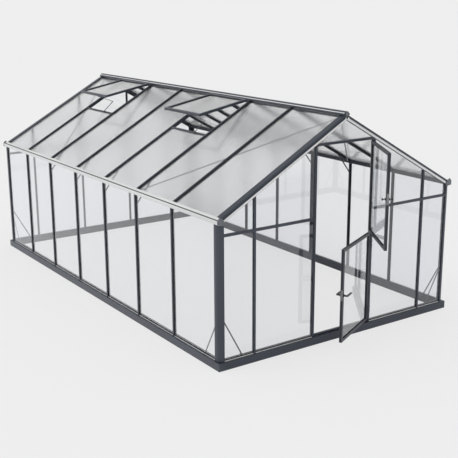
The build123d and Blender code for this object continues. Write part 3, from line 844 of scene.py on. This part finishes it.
def dressJambs():
    mesh = bmesh.new()
    axis = leafFacts["axis"]
    wide, narrow = jambFacts["tipRadii"]
    (outside, inside), across, tall = jambFacts["keep"]
    for leaf in leafFacts["spans"]:
        for z in hingeHeights(leaf):
            for end in (-1, 1):
                for x in jambFacts["screws"]:
                    at = (x, frontFace - jambFacts["face"], z + end * jambFacts["screwStep"])
                    screw(mesh, at, (0, -1, 0), screwFacts)
                pin = Vector((axis.x, axis.y, z + end * jambFacts["pinEnd"]))
                tip = pin + Vector((0, 0, end * jambFacts["tip"]))
                rod(mesh, pin, tip, wide, jambFacts["tipSides"], narrow)
        z = leafFacts["locks"][leaf]
        bar(mesh, (outside, -across, z - tall), (inside, across, z + tall), Matrix(), jambFacts["ease"])
    finishPiece("jamb_screws", mesh, boltMetal)


dressLeaf("lower_leaf")
dressLeaf("upper_leaf")
dressJambs()


# stage, lights and camera
stageFacts = {
    "floorSpan": 300.0,
    "floorTone": colour(0.855, 0.857, 0.857),
    "backTone": colour(0.86, 0.86, 0.86),
    "sheenTone": colour(1.40, 1.42, 1.46),  # mirrored in the glass; a brighter one burns out more panes
    "innerSheenTone": colour(0.95, 0.96, 0.98),
    "wallSide": 1.45,
    "frontSide": 0.4,
    "darkReflectionTone": colour(0.30, 0.31, 0.33),  # painted reflection: a dark patch of sky high over the ridge line, seen only by glossy rays, for the roof to mirror
    "darkReflectionRise": (0.38, 5.0),
    "darkReflectionMiddle": 0.03,
    "darkReflectionEdge": (1.6, 8.0),
    "floorGlow": 0.82,
    "rays": ("Is Camera Ray", "Is Glossy Ray", "Is Transmission Ray"),
    "worldLight": 0.9,
    "lampPower": 0.42,
    "lampSpread": radians(50.0),
    "lampFrom": Vector((-0.55, 0.45, 1.0)),
}


def floorPaint():  # partly lit by itself, as a lit studio floor is
    paint = Finish("floorPaint")
    lens, glossy, through = [paint.node("ShaderNodeLightPath", out=kind) for kind in stageFacts["rays"]]
    seen = stageFacts["floorGlow"] * paint.clamp(lens + glossy + through)
    matt = paint.node("ShaderNodeBsdfDiffuse", None, {"Color": stageFacts["floorTone"]})
    # painted reflection: for glossy rays the floor glows at the sheen tone beside and before the house and
    # at the inner tone elsewhere, for the glass to mirror
    beside = paint.above(0.0 - paint.axis("X"), stageFacts["wallSide"])
    before = paint.above(0.0 - paint.axis("Y"), stageFacts["frontSide"])
    sheen = paint.tint(paint.clamp(beside + before), stageFacts["innerSheenTone"], stageFacts["sheenTone"])
    glowTone = paint.tint(glossy * (1.0 - through), stageFacts["backTone"], sheen)
    glow = paint.node("ShaderNodeEmission", None, {"Color": glowTone})
    return paint.finish(paint.node("ShaderNodeMixShader", None, {0: seen, 1: matt, 2: glow}))


def layFloor():
    mesh = bmesh.new()
    bmesh.ops.create_grid(mesh, x_segments=1, y_segments=1, size=stageFacts["floorSpan"] / 2)
    data = bpy.data.meshes.new("studioFloor")
    mesh.to_mesh(data)
    mesh.free()
    floor = bpy.data.objects.new("studioFloor", data)
    bpy.context.collection.objects.link(floor)
    floor.data.materials.append(floorPaint())


def lightRoom():
    world = bpy.data.worlds.new("studio")
    bpy.context.scene.world = world
    sky = Finish("studio", world)
    lens, glossy, through = [sky.node("ShaderNodeLightPath", out=kind) for kind in stageFacts["rays"]]
    aim = sky.node("ShaderNodeTexCoord", out="Generated")
    across, height = [sky.node("ShaderNodeSeparateXYZ", None, {0: aim}, out=letter) for letter in "XZ"]
    begin, rate = stageFacts["darkReflectionRise"]
    edge, fade = stageFacts["darkReflectionEdge"]
    aside = sky.size(across - stageFacts["darkReflectionMiddle"])
    # painted reflection: glossy rays see a darker sky in this patch over the ridge
    darkReflection = sky.clamp((height - begin) * rate) * sky.clamp(edge - fade * aside)
    tone = sky.tint(darkReflection * (glossy * (1.0 - through)), stageFacts["backTone"], stageFacts["darkReflectionTone"])
    backdrop = sky.node("ShaderNodeBackground", None, {"Color": tone})
    light = {"Strength": stageFacts["worldLight"], "Color": colour(1, 1, 1)}
    glow = sky.node("ShaderNodeBackground", None, light)
    seen = sky.clamp(lens + glossy + through)
    mixed = sky.node("ShaderNodeMixShader", None, {0: seen, 1: glow, 2: backdrop})
    sky.finish(mixed, "ShaderNodeOutputWorld")

    lamp = bpy.data.lights.new("softLamp", "SUN")
    lamp.energy = stageFacts["lampPower"]
    lamp.angle = stageFacts["lampSpread"]
    holder = bpy.data.objects.new("softLamp", lamp)
    holder.rotation_euler = (-stageFacts["lampFrom"]).to_track_quat("-Z", "Y").to_euler()
    bpy.context.collection.objects.link(holder)


cameraFacts = {
    "place": Vector((-5.8226, -6.4420, 3.4701)),
    "turn": radians(34.7178),  # from +Y towards +X
    "dip": radians(14.8413),
    "roll": radians(-0.1941),
    "lens": 69.2017,
    "shift": (-0.00889, -0.00521),
    "sensor": 36.0,
    "farthest": 500.0,
}


def setCamera():
    turn = cameraFacts["turn"]
    dip = cameraFacts["dip"]
    ahead = Vector((sin(turn) * cos(dip), cos(turn) * cos(dip), -sin(dip)))
    level = Vector((cos(turn), -sin(turn), 0.0))
    upright = level.cross(ahead)
    roll = cameraFacts["roll"]
    across = cos(roll) * level + sin(roll) * upright
    above = cos(roll) * upright - sin(roll) * level
    data = bpy.data.cameras.new("camera")
    data.lens = cameraFacts["lens"]
    data.sensor_width = cameraFacts["sensor"]
    data.shift_x, data.shift_y = cameraFacts["shift"]
    data.clip_end = cameraFacts["farthest"]
    camera = bpy.data.objects.new("camera", data)
    camera.matrix_world = placed(across, above, -ahead, cameraFacts["place"])
    bpy.context.collection.objects.link(camera)
    bpy.context.scene.camera = camera


layFloor()
lightRoom()
setCamera()
bpy.context.scene.view_settings.view_transform = "Standard"
print("stage, lights and camera set")
